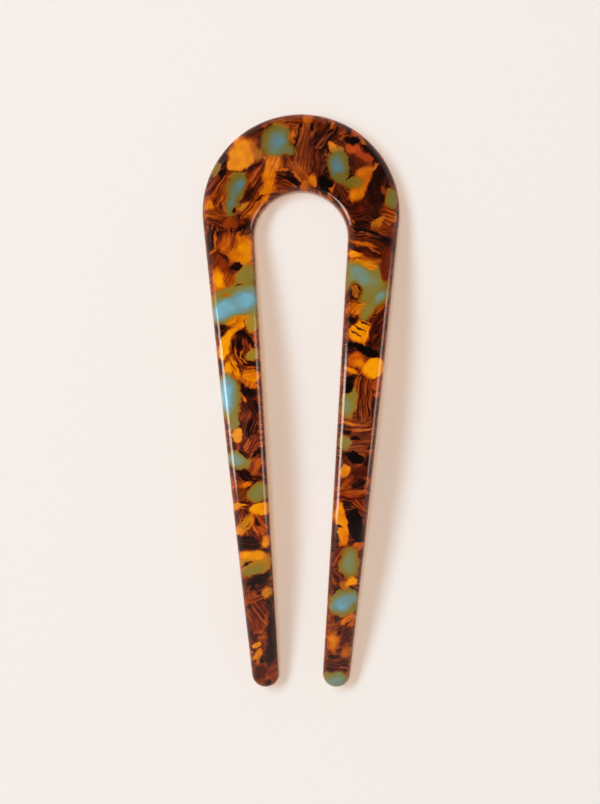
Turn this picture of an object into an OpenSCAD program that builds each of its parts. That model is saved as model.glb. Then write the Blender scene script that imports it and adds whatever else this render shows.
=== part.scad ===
// French hair pin: a two-pronged pin cut in one piece from acetate sheet.
// The outline is drawn flat, its edges are rounded, and the whole blank is then
// curved lengthwise: the bow's end lies flat, the sheet turns up under the bow,
// and the legs run on in one low arch down to the two tips.
// Units are millimetres. +Y points to the bow, +Z up, the surface below is z = 0.

/* [Pin] */
// Length from the top of the bow to the tips, seen from above
pin_len = 115; // [95:1:140]
// Thickness of the sheet
sheet_t = 4; // [3:0.25:5]
// Radius of the polished edges
edge_r = 1.3; // [0.6:0.1:1.4]
// Height of the arch's underside above the surface that the pin lies on
arch_rise = 7.2; // [4:0.2:10]

/* [Bow] */
// Width across the bow
bow_w = 39.6; // [34:0.2:48]
// Width of the band at the top of the bow
crown_w = 15.6; // [12:0.2:20]
// Widest clear gap between the legs, under the bow
gap_w = 18.8; // [14:0.2:24]
// Length at the bow's end that lies flat
bow_flat = 10; // [8:0.5:16]
// Radius of the underside where it turns up from there into the arch
turn_r = 60; // [50:5:100]

/* [Legs] */
// Width of each round tip
tip_w = 5.4; // [4:0.2:7]
// Clear gap between the legs at the centres of the round tips
tip_gap = 8.8; // [6:0.2:14]

/* [Hidden] */

// Steps along half the bow, along one leg, along one side of a tip,
// round each edge, and across the flat band
bow_steps = 24;
leg_steps = 20;
tip_steps = 8;
edge_steps = 4;
band_steps = 3;

// Degrees in one radian
radian = 180 / PI;

// Side view. The underside is level up to turn_y, turns up on a circle of
// turn_r, and joins the arch's circle of arch_r where both lean by turn_lean.
// The tips lean, so that they touch a little inside the pin's end.
turn_y = pin_len / 2 - bow_flat;
upright_h = sheet_t - 2 * edge_r;
touch_y = edge_r + upright_h * 4 * arch_rise / pin_len - pin_len / 2;
span = turn_y - touch_y;
arch_reach = span / 2 - (turn_r - edge_r) * arch_rise / span;
arch_r = (pow(arch_reach, 2) + pow(arch_rise, 2)) / (2 * arch_rise) - edge_r;
arch_y = touch_y + arch_reach;
turn_lean = asin((turn_y - arch_y) / (arch_r + turn_r));
tip_lean = asin((arch_y + pin_len / 2 - edge_r) / (arch_r + sheet_t - edge_r));

// The sheet's middle layer, from the arch's top: its two radii, where it meets
// the turn and the level part, and the flat blank's two ends
arch_mid = arch_r + sheet_t / 2;
turn_mid = turn_r - sheet_t / 2;
turn_from = arch_mid * turn_lean / radian;
turn_to = turn_from + turn_mid * turn_lean / radian;
bow_end = turn_to + bow_flat;
tip_end = -arch_mid * tip_lean / radian - edge_r;

// Circles of the flat outline: outside of the bow, gap inside it, right tip
bow_r = bow_w / 2;
bow_at = [0, bow_end - bow_r];
gap_r = gap_w / 2;
gap_at = [0, bow_end - crown_w - gap_r];
tip_r = tip_w / 2;
tip_at = [tip_gap / 2 + tip_r, tip_end + tip_r];

// Direction, from the circle's centre, of the straight side that touches a
// circle of radius r at p and the tip, on the far side or (-1) the near side
function side_angle(p, r, far) =
    let(d = tip_at - p)
    atan(-d.x / d.y) - asin((r - far * tip_r) / norm(d));

outer_angle = side_angle(bow_at, bow_r, 1);
inner_angle = side_angle(gap_at, gap_r, -1);

function mix(a, b, share) = a + (b - a) * share;

// A station crosses the band. It holds its side (-1 left, 1 right) and the
// shares of the half bow, the leg and the tip that lie behind it
right_half = concat(
    [for (i = [0:bow_steps]) [1, i / bow_steps, 0, 0]],
    [for (i = [1:leg_steps]) [1, 1, i / leg_steps, 0]],
    [for (i = [1:tip_steps]) [1, 1, 1, i / tip_steps]]
);
last = len(right_half) - 1;
stations = concat(
    [for (i = [last:-1:1]) [-1, right_half[i][1], right_half[i][2], right_half[i][3]]],
    right_half
);

// A point beside the station, set in from the outline by inset
function on_circle(station, centre, r, angle) =
    [station[0] * (centre.x + r * cos(angle)), centre.y + r * sin(angle)];

function outer_point(station, inset) =
    on_circle(
        station,
        mix(bow_at, tip_at, station[2]),
        mix(bow_r, tip_r, station[2]) - inset,
        90 + (outer_angle - 90) * station[1] - (90 + outer_angle) * station[3]
    );

function inner_point(station, inset) =
    on_circle(
        station,
        mix(gap_at, tip_at, station[2]),
        mix(gap_r, -tip_r, station[2]) + inset,
        90 + (inner_angle - 90) * station[1] + (90 - inner_angle) * station[3]
    );

// Rounded side of the section from the top face down: [inset, height]
side_profile = [
    for (face = [1, -1])
        for (i = [0:edge_steps])
            let(a = 90 * ((face + 1) / 2 - i / edge_steps))
            [edge_r * (1 - cos(a)), face * upright_h / 2 + edge_r * sin(a)]
];
side_n = len(side_profile);

// One section: outer side, underside, inner side, top
function across(from, to, z) =
    [for (i = [1:band_steps - 1]) let(p = mix(from, to, i / band_steps)) [p.x, p.y, z]];

function section(station) =
    let(
        outer = [for (p = side_profile) [each outer_point(station, p[0]), p[1]]],
        inner = [for (i = [side_n - 1:-1:0])
            let(p = side_profile[i]) [each inner_point(station, p[0]), p[1]]]
    )
    concat(
        outer,
        across(outer[side_n - 1], inner[0], -sheet_t / 2),
        inner,
        across(inner[side_n - 1], outer[0], sheet_t / 2)
    );
section_n = 2 * (side_n + band_steps - 1);

// The blank's point once the sheet is curved: over the arch, in the turn, and
// on the level part
function curved(p) =
    p.y < turn_from ? over_arch(p, p.y / arch_mid * radian)
    : p.y < turn_to ? in_turn(p, (turn_to - p.y) / turn_mid * radian)
    : [p.x, turn_y + p.y - turn_to, sheet_t / 2 + p.z];

function over_arch(p, a) =
    [
        p.x,
        arch_y + (arch_mid + p.z) * sin(a),
        arch_rise - arch_r + (arch_mid + p.z) * cos(a)
    ];

function in_turn(p, a) =
    [
        p.x,
        turn_y - (turn_mid - p.z) * sin(a),
        turn_r - (turn_mid - p.z) * cos(a)
    ];

// At the end of each tip the section closes to one line of points, those of
// its outer side, so the inner side and the faces between share them
function at_tip(j) =
    j < side_n ? j
    : j < side_n + band_steps - 1 ? side_n - 1
    : j < 2 * side_n + band_steps - 1 ? 2 * side_n + band_steps - 2 - j
    : 0;

function point_index(i, j) =
    let(jj = j % section_n, end = i == 0 || i == 2 * last)
    i * section_n + (end ? at_tip(jj) : jj);

function whole(face) =
    face[0] != face[1] && face[1] != face[2] && face[2] != face[0];

module hair_pin() {
    points = [for (s = stations) for (p = section(s)) curved(p)];
    lowest = min([for (p = points) p.z]);
    corners = [
        for (i = [0:2 * last - 1])
            for (j = [0:section_n - 1])
                [
                    point_index(i, j), point_index(i, j + 1),
                    point_index(i + 1, j + 1), point_index(i + 1, j)
                ]
    ];
    faces = [
        for (c = corners)
            for (face = [[c[0], c[1], c[2]], [c[0], c[2], c[3]]])
                if (whole(face)) face
    ];
    color([0.55, 0.27, 0.08])
        translate([0, 0, -lowest])
            polyhedron(points = points, faces = faces, convexity = 6);
}

hair_pin();
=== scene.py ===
"""A French hair pin in polished mottled acetate: its looks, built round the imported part.

The pin lies on a pale floor with its bow towards +Y. Blender works in metres. The pin's sizes and the chart
of its chips are in millimetres, as in the part's source.
"""

from __future__ import annotations

import logging
import math
from dataclasses import dataclass, fields
from enum import Enum
from typing import NamedTuple

import bpy
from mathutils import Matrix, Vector

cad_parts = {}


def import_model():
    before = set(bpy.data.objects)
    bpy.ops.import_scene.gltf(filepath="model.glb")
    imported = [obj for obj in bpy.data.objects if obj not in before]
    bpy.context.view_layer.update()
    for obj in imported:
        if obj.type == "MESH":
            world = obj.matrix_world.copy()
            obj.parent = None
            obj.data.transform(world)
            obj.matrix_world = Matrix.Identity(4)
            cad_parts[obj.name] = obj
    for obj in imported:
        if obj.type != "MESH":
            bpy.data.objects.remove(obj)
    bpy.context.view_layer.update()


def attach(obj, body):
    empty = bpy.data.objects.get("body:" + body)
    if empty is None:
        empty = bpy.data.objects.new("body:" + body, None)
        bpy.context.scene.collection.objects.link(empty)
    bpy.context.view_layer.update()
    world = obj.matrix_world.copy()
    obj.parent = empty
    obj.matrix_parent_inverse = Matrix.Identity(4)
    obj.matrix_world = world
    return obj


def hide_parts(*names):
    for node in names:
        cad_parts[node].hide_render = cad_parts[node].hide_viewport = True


LOG = logging.getLogger("hair_pin")
MM = 0.001
QUARTER_TURN = math.pi / 2
Colour = tuple[float, float, float, float]


def paint(red: int, green: int, blue: int) -> Colour:
    """A colour as a screen shows it, 0 to 255 a channel, in Blender's own linear values."""
    lit = [c / 255 for c in (red, green, blue)]
    return *(c / 12.92 if c <= 0.04045 else ((c + 0.055) / 1.055) ** 2.4 for c in lit), 1.0


@dataclass(frozen=True)
class Value:
    """What one socket of a node tree gives, written in sums as a number is."""

    tree: bpy.types.NodeTree
    socket: bpy.types.NodeSocket

    def maths(self, operation: str, *others: Value | float, clamp: bool = False) -> Value:
        """This value and others through a Math node, held between 0 and 1 where clamp is True."""
        return sums(self.tree, operation, self, *others, clamp=clamp)

    def vectors(self, operation: str, *others: Value | tuple | float) -> Value:
        """This vector and others through a Vector Math node.

        Args:
            operation: the node's operation.
            *others: its further inputs; a number goes to the Scale input.

        Returns:
            The node's vector, or its number where the operation is LENGTH.
        """
        node = self.tree.nodes.new("ShaderNodeVectorMath")
        node.operation = operation
        sockets = [node.inputs[0], node.inputs["Scale"]] if operation == "SCALE" else node.inputs[:3]
        for socket, item in zip(sockets, (self, *others)):
            plug(self.tree, socket, item)
        return Value(self.tree, node.outputs["Value" if operation == "LENGTH" else "Vector"])

    def between(self, low: float, high: float, to_low: float = 0.0, to_high: float = 1.0) -> Value:
        """This value's place between low and high, eased at both ends.

        Args:
            low: where the result starts.
            high: where it ends.
            to_low: the result up to low.
            to_high: the result past high.

        Returns:
            The eased value.
        """
        node = self.tree.nodes.new("ShaderNodeMapRange")
        node.interpolation_type = "SMOOTHSTEP"
        for socket, item in zip(node.inputs, (self, low, high, to_low, to_high)):
            plug(self.tree, socket, item)
        return Value(self.tree, node.outputs[0])

    def held(self) -> Value:
        """This value, held between 0 and 1."""
        return self.maths("ADD", 0.0, clamp=True)

    def axes(self) -> tuple[Value, Value, Value]:
        """Splits this vector.

        Returns:
            Its three numbers.
        """
        node = self.tree.nodes.new("ShaderNodeSeparateXYZ")
        plug(self.tree, node.inputs[0], self)
        return tuple(Value(self.tree, socket) for socket in node.outputs)

    def __add__(self, other: Value | float) -> Value:
        """The sum."""
        return self.maths("ADD", other)

    def __radd__(self, other: float) -> Value:
        """The sum."""
        return self.maths("ADD", other)

    def __sub__(self, other: Value | float) -> Value:
        """The difference."""
        return self.maths("SUBTRACT", other)

    def __rsub__(self, other: float) -> Value:
        """The difference from a plain number."""
        return sums(self.tree, "SUBTRACT", other, self)

    def __mul__(self, other: Value | float) -> Value:
        """The product."""
        return self.maths("MULTIPLY", other)

    def __truediv__(self, other: Value | float) -> Value:
        """The quotient."""
        return self.maths("DIVIDE", other)

    def __neg__(self) -> Value:
        """The value with its sign turned."""
        return self.maths("MULTIPLY", -1.0)


def plug(tree: bpy.types.NodeTree, socket: bpy.types.NodeSocket, item: Value | object) -> None:
    """Feeds a node's input from a value, or sets it to a plain number, vector or colour.

    Args:
        tree: the node tree.
        socket: the input.
        item: what goes in.
    """
    if isinstance(item, Value):
        tree.links.new(item.socket, socket)
    else:
        socket.default_value = item


def sums(tree: bpy.types.NodeTree, operation: str, *items: Value | float, clamp: bool = False) -> Value:
    """Values and numbers through one Math node.

    Args:
        tree: the node tree.
        operation: the node's operation.
        *items: its inputs.
        clamp: True to hold the result between 0 and 1.

    Returns:
        The node's result.
    """
    node = tree.nodes.new("ShaderNodeMath")
    node.operation = operation
    node.use_clamp = clamp
    for socket, item in zip(node.inputs, items):
        plug(tree, socket, item)
    return Value(tree, node.outputs[0])


def place(tree: bpy.types.NodeTree, kind: str, output: int | str = 0, **inputs: object) -> Value:
    """Adds a node and names its inputs in the call.

    Args:
        tree: the node tree.
        kind: the node's type.
        output: the output that is wanted.
        **inputs: values for inputs, by name with _ for a space, or for the node's own settings.

    Returns:
        That output.
    """
    node = tree.nodes.new(kind)
    settings = {key: item for key, item in inputs.items() if key in node.bl_rna.properties}
    for key, item in settings.items():
        setattr(node, key, item)
    for key, item in inputs.items():
        if key not in settings:
            plug(tree, node.inputs[key.replace("_", " ")], item)
    return Value(tree, node.outputs[output])


def joined(tree: bpy.types.NodeTree, *parts: Value | float) -> Value:
    """A vector from its three numbers."""
    return place(tree, "ShaderNodeCombineXYZ", **dict(zip("XYZ", parts)))


def part_way(start: Value, end: Value, share: Value) -> Value:
    """The value that lies this share of the way from start to end."""
    return start + (end - start) * share


class Mixing(Enum):
    """What a Mix node mixes: its data type and factor mode, then where its inputs and its output stand."""

    COLOURS = ("RGBA", "UNIFORM", 0, 6, 2)
    VECTORS = ("VECTOR", "UNIFORM", 0, 4, 1)
    EACH_AXIS = ("VECTOR", "NON_UNIFORM", 1, 4, 1)


def mix(
    tree: bpy.types.NodeTree, kind: Mixing, share: Value, first: Value | tuple, second: Value | tuple
) -> Value:
    """Mixes two colours or two vectors.

    Args:
        tree: the node tree.
        kind: what is mixed.
        share: the second one's share, or its share on each axis.
        first: what stands where the share is 0.
        second: what stands where the share is 1.

    Returns:
        The mixture.
    """
    data_type, factor_mode, share_at, first_at, output = kind.value
    mixture = place(tree, "ShaderNodeMix", output, data_type=data_type, factor_mode=factor_mode)
    sockets = mixture.socket.node.inputs
    plug(tree, sockets[share_at], share)
    plug(tree, sockets[first_at], first)
    plug(tree, sockets[first_at + 1], second)
    return mixture


class Tint(NamedTuple):
    """The colour at one place of a ramp."""

    at: float
    colour: Colour


def ramp(tree: bpy.types.NodeTree, tints: tuple[Tint, ...], at: Value, span: float = 1.0) -> Value:
    """The colour that a row of tints gives at one place between them.

    Args:
        tree: the node tree.
        tints: the tints, from the lowest place to the highest.
        at: the place.
        span: the highest place that the row can hold.

    Returns:
        The colour.
    """
    node = tree.nodes.new("ShaderNodeValToRGB")
    stops = node.color_ramp.elements
    while len(stops) < len(tints):
        stops.new(0.5)
    for stop, tint in zip(stops, tints):
        stop.position = tint.at / span
        stop.color = tint.colour
    plug(tree, node.inputs[0], at / span)
    return Value(tree, node.outputs[0])


@dataclass(frozen=True)
class PinSizes:
    """The pin's driving sizes in millimetres, those of the part's source.

    Length, sheet and bow are less by a few hundredths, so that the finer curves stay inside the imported
    solid's box.
    """

    length: float = 114.96
    sheet: float = 3.97
    edge_radius: float = 1.3
    arch_rise: float = 7.2
    bow_width: float = 39.56
    crown_width: float = 15.6
    gap_width: float = 18.8
    bow_flat: float = 10.0
    turn_radius: float = 60.0
    tip_width: float = 5.4
    tip_gap: float = 8.8


@dataclass(frozen=True)
class PinSteps:
    """How finely each stretch of the pin is divided."""

    half_bow: int = 64
    leg: int = 84
    half_tip: int = 24
    edge: int = 10
    band: int = 10

    def around(self) -> int:
        """Faces round one section of the pin."""
        return 2 * (2 * self.edge + 1) + 2 * self.band

    def along(self) -> int:
        """Faces from one tip to the other."""
        return 2 * (self.half_bow + self.leg + self.half_tip)


@dataclass(frozen=True)
class SideView:
    """The pin seen from the side: level under the bow's end, a turn up, then one arch down to the tips.

    Lengths along the blank start at the arch's top and grow towards the bow.
    """

    rise: Value
    arch_y: Value
    arch_radius: Value
    turn_y: Value
    turn_radius: Value
    turn_from: Value
    turn_to: Value
    bow_end: Value
    tip_end: Value
    half_sheet: Value

    @classmethod
    def of(cls, given: dict[str, Value]) -> SideView:
        """Works the side view out of the pin's sizes.

        Args:
            given: the tree's inputs by name.

        Returns:
            The side view.
        """
        rise, edge, sheet = given["arch_rise"], given["edge_radius"], given["sheet"]
        half_length, turn_radius = given["length"] / 2, given["turn_radius"]
        turn_y = half_length - given["bow_flat"]
        touch_y = edge + (sheet - edge * 2) * 2 * rise / half_length - half_length
        span = turn_y - touch_y
        arch_reach = span / 2 - (turn_radius - edge) * rise / span
        arch_radius = (arch_reach * arch_reach + rise * rise) / (rise * 2) - edge
        arch_y = touch_y + arch_reach
        turn_lean = ((turn_y - arch_y) / (arch_radius + turn_radius)).maths("ARCSINE")
        tip_lean = ((arch_y + half_length - edge) / (arch_radius + sheet - edge)).maths("ARCSINE")
        turn_from = (arch_radius + sheet / 2) * turn_lean
        turn_to = turn_from + (turn_radius - sheet / 2) * turn_lean
        return cls(
            rise=rise,
            arch_y=arch_y,
            arch_radius=arch_radius,
            turn_y=turn_y,
            turn_radius=turn_radius,
            turn_from=turn_from,
            turn_to=turn_to,
            bow_end=turn_to + given["bow_flat"],
            tip_end=-((arch_radius + sheet / 2) * tip_lean) - edge,
            half_sheet=sheet / 2,
        )

    def bent(self, along: Value, off: Value) -> tuple[Value, Value]:
        """Where a point of the blank lies once the sheet is curved.

        Args:
            along: its length along the blank.
            off: its height off the sheet's middle layer.

        Returns:
            Its place along Y and its height above the surface.
        """
        middle = self.arch_radius + self.half_sheet
        lean = along / middle
        arch_y = self.arch_y + (middle + off) * lean.maths("SINE")
        arch_z = self.rise - self.arch_radius + (middle + off) * lean.maths("COSINE")
        middle = self.turn_radius - self.half_sheet
        left = self.turn_to - along
        lean = left.maths("MAXIMUM", 0.0) / middle
        turn_y = self.turn_y - (middle - off) * lean.maths("SINE") - left.maths("MINIMUM", 0.0)
        turn_z = self.turn_radius - (middle - off) * lean.maths("COSINE")
        on_arch = along.maths("LESS_THAN", self.turn_from)
        return part_way(turn_y, arch_y, on_arch), part_way(turn_z, arch_z, on_arch)


@dataclass(frozen=True)
class PinForm:
    """Draws the flat blank with rounded edges and curves it lengthwise, in Geometry Nodes."""

    sizes: PinSizes = PinSizes()
    steps: PinSteps = PinSteps()
    merge_within: float = 1e-6
    plan_name: str = "plan"

    def tree(self, finish: bpy.types.Material) -> tuple[bpy.types.NodeTree, dict[str, float]]:
        """Builds the node tree.

        Args:
            finish: the pin's material.

        Returns:
            The tree, and the value of each of its inputs by socket identifier.
        """
        tree = bpy.data.node_groups.new("Pin from a curved sheet", "GeometryNodeTree")
        tree.interface.new_socket("Pin", in_out="OUTPUT", socket_type="NodeSocketGeometry")
        start = tree.nodes.new("NodeGroupInput")
        given: dict[str, Value] = {}
        chosen: dict[str, float] = {}
        for item in fields(self.sizes):
            socket = tree.interface.new_socket(
                item.name.replace("_", " ").capitalize(), in_out="INPUT", socket_type="NodeSocketFloat"
            )
            chosen[socket.identifier] = getattr(self.sizes, item.name)
            given[item.name] = Value(tree, start.outputs[socket.name])
        grid = place(
            tree,
            "GeometryNodeMeshGrid",
            Size_X=2.0,
            Size_Y=1.0,
            Vertices_X=self.steps.along() + 1,
            Vertices_Y=self.steps.around() + 1,
        )
        station, ring, _ = place(tree, "GeometryNodeInputPosition").axes()
        view = SideView.of(given)
        across, along, off = self.blank_point(given, view, station * (self.steps.along() / 2), ring)
        seen_y, _ = view.bent(along, view.half_sheet)
        stored = place(
            tree,
            "GeometryNodeStoreNamedAttribute",
            data_type="FLOAT_VECTOR",
            Geometry=grid,
            Name=self.plan_name,
            Value=joined(tree, across, seen_y, off),
        )
        bent_y, bent_z = view.bent(along, off)
        lowest = place(tree, "GeometryNodeAttributeStatistic", "Min", Geometry=stored, Attribute=bent_z)
        bent = joined(tree, across, bent_y, bent_z - lowest)
        shaped = place(
            tree, "GeometryNodeSetPosition", Geometry=stored, Position=bent.vectors("SCALE", MM)
        )
        closed = place(tree, "GeometryNodeMergeByDistance", Geometry=shaped, Distance=self.merge_within)
        smooth = place(tree, "GeometryNodeSetShadeSmooth", Geometry=closed)
        real = place(tree, "GeometryNodeRealizeInstances", Geometry=smooth)
        dressed = place(tree, "GeometryNodeSetMaterial", Geometry=real, Material=finish)
        end = tree.nodes.new("NodeGroupOutput")
        plug(tree, end.inputs[0], dressed)
        return tree, chosen

    @staticmethod
    def side_lean(centre: Value, tip: tuple[Value, Value], difference: Value) -> Value:
        """The direction in which a leg's straight side touches both a circle and the round tip.

        Args:
            centre: the circle's length along the blank.
            tip: the round tip's centre.
            difference: how much larger the circle's radius is than the tip's.

        Returns:
            The direction in radians, seen from the circle's centre.
        """
        fall = centre - tip[1]
        apart = (tip[0] * tip[0] + fall * fall).maths("SQRT")
        return (tip[0] / fall).maths("ARCTANGENT") - (difference / apart).maths("ARCSINE")

    def stretches(self, station: Value) -> tuple[Value, Value, Value]:
        """How much of the bow, of the leg and of the tip lies before a station.

        Args:
            station: steps from the top of the bow, negative on the left half.

        Returns:
            The three shares, each from 0 to 1.
        """
        steps = station.maths("ABSOLUTE")
        past_bow = steps - self.steps.half_bow
        past_leg = steps - (self.steps.half_bow + self.steps.leg)
        return (
            (steps / self.steps.half_bow).held(),
            (past_bow / self.steps.leg).held(),
            (past_leg / self.steps.half_tip).held(),
        )

    def section(self, given: dict[str, Value], ring: Value) -> tuple[Value, Value, Value]:
        """Where a point lies in its section, which is level above and below and rounded at both sides.

        Args:
            given: the tree's inputs by name.
            ring: place round the section, -0.5 to 0.5, from the outer edge's top.

        Returns:
            How far the point lies inside the outline, its height off the sheet's middle layer, and its share
            of the way from the outer outline to the inner one.
        """
        edge = given["edge_radius"]
        edge_n, band_n = self.steps.edge, self.steps.band
        side_n = 2 * edge_n + 1
        place_round = (ring + 0.5) * self.steps.around()
        down = place_round.maths("MINIMUM", (2 * side_n + band_n) - place_round)
        down = down.maths("MAXIMUM", 0.0).maths("MINIMUM", float(side_n))
        upper = (1 - (down / edge_n).held()) * QUARTER_TURN
        straight = (down - edge_n).held()
        lower = ((down - edge_n - 1) / edge_n).held() * QUARTER_TURN
        inset = edge * (2 - upper.maths("COSINE") - lower.maths("COSINE"))
        upright = given["sheet"] / 2 - edge
        height = upright * (1 - straight * 2) + edge * (upper.maths("SINE") - lower.maths("SINE"))
        under = ((place_round - side_n) / band_n).held()
        over = ((place_round - 2 * side_n - band_n) / band_n).held()
        return inset, height, under - over

    def blank_point(
        self, given: dict[str, Value], view: SideView, station: Value, ring: Value
    ) -> tuple[Value, Value, Value]:
        """Where a point of the grid lies on the flat blank.

        Args:
            given: the tree's inputs by name.
            view: the side view, for the blank's two ends.
            station: steps from the top of the bow, negative on the left half.
            ring: place round the section, -0.5 to 0.5, from the outer edge's top.

        Returns:
            The point's three coordinates.
        """
        bow_radius = given["bow_width"] / 2
        bow_y = view.bow_end - bow_radius
        gap_radius = given["gap_width"] / 2
        gap_y = view.bow_end - given["crown_width"] - gap_radius
        tip_radius = given["tip_width"] / 2
        tip_x = given["tip_gap"] / 2 + tip_radius
        tip_y = view.tip_end + tip_radius
        outer_lean = self.side_lean(bow_y, (tip_x, tip_y), bow_radius - tip_radius)
        inner_lean = self.side_lean(gap_y, (tip_x, tip_y), gap_radius + tip_radius)

        bow, leg, tip = self.stretches(station)
        inset, height, across = self.section(given, ring)
        centre_x = tip_x * leg
        outer_turn = QUARTER_TURN + (outer_lean - QUARTER_TURN) * bow - (outer_lean + QUARTER_TURN) * tip
        outer_reach = part_way(bow_radius, tip_radius, leg) - inset
        outer_centre = part_way(bow_y, tip_y, leg)
        inner_turn = QUARTER_TURN + (inner_lean - QUARTER_TURN) * bow + (QUARTER_TURN - inner_lean) * tip
        inner_reach = part_way(gap_radius, -tip_radius, leg) + inset
        inner_centre = part_way(gap_y, tip_y, leg)
        outer_x = centre_x + outer_reach * outer_turn.maths("COSINE")
        inner_x = centre_x + inner_reach * inner_turn.maths("COSINE")
        outer_y = outer_centre + outer_reach * outer_turn.maths("SINE")
        inner_y = inner_centre + inner_reach * inner_turn.maths("SINE")
        side = station.maths("SIGN")
        return side * part_way(outer_x, inner_x, across), part_way(outer_y, inner_y, across), height

    def mesh(self, finish: bpy.types.Material) -> bpy.types.Mesh:
        """Runs the tree once and keeps its result as a plain mesh.

        Args:
            finish: the pin's material.

        Returns:
            The mesh, in metres.
        """
        tree, chosen = self.tree(finish)
        holder = bpy.data.objects.new("pin tree", bpy.data.meshes.new("pin tree"))
        bpy.context.scene.collection.objects.link(holder)
        live = holder.modifiers.new("Pin", "NODES")
        live.node_group = tree
        for identifier, size in chosen.items():
            live[identifier] = size
        graph = bpy.context.evaluated_depsgraph_get()
        mesh = bpy.data.meshes.new_from_object(holder.evaluated_get(graph))
        holder.modifiers.remove(live)
        bpy.data.objects.remove(holder)
        return mesh


class Chip(NamedTuple):
    """One chip of the sheet, in millimetres and degrees, where it is seen from above.

    long and wide are its half sizes along turn and across it. tone runs from black at 0 over red-brown and
    orange to amber at 1. streak is how strongly the grain shows, and grain the direction in which it runs.
    soft, times the pattern's melt, is the share of the chip over which it melts into its neighbours. cast
    turns its colour to red below 0 and to olive above it.
    """

    x: float
    y: float
    long: float
    wide: float
    turn: float
    tone: float
    streak: float = 0.05
    grain: float = 90.0
    soft: float = 0.36
    cast: float = 0.0


class Cloud(NamedTuple):
    """A soft cloud in the sheet over the chips below it, in millimetres and degrees.

    long and wide are its half sizes along turn and across it. cast is olive at 0.5 and teal at 1, soft is
    the share of the cloud over which it fades, and tone is how light it is.
    """

    x: float
    y: float
    long: float
    wide: float
    turn: float
    cast: float = 1.0
    soft: float = 0.7
    tone: float = 0.7


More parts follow.
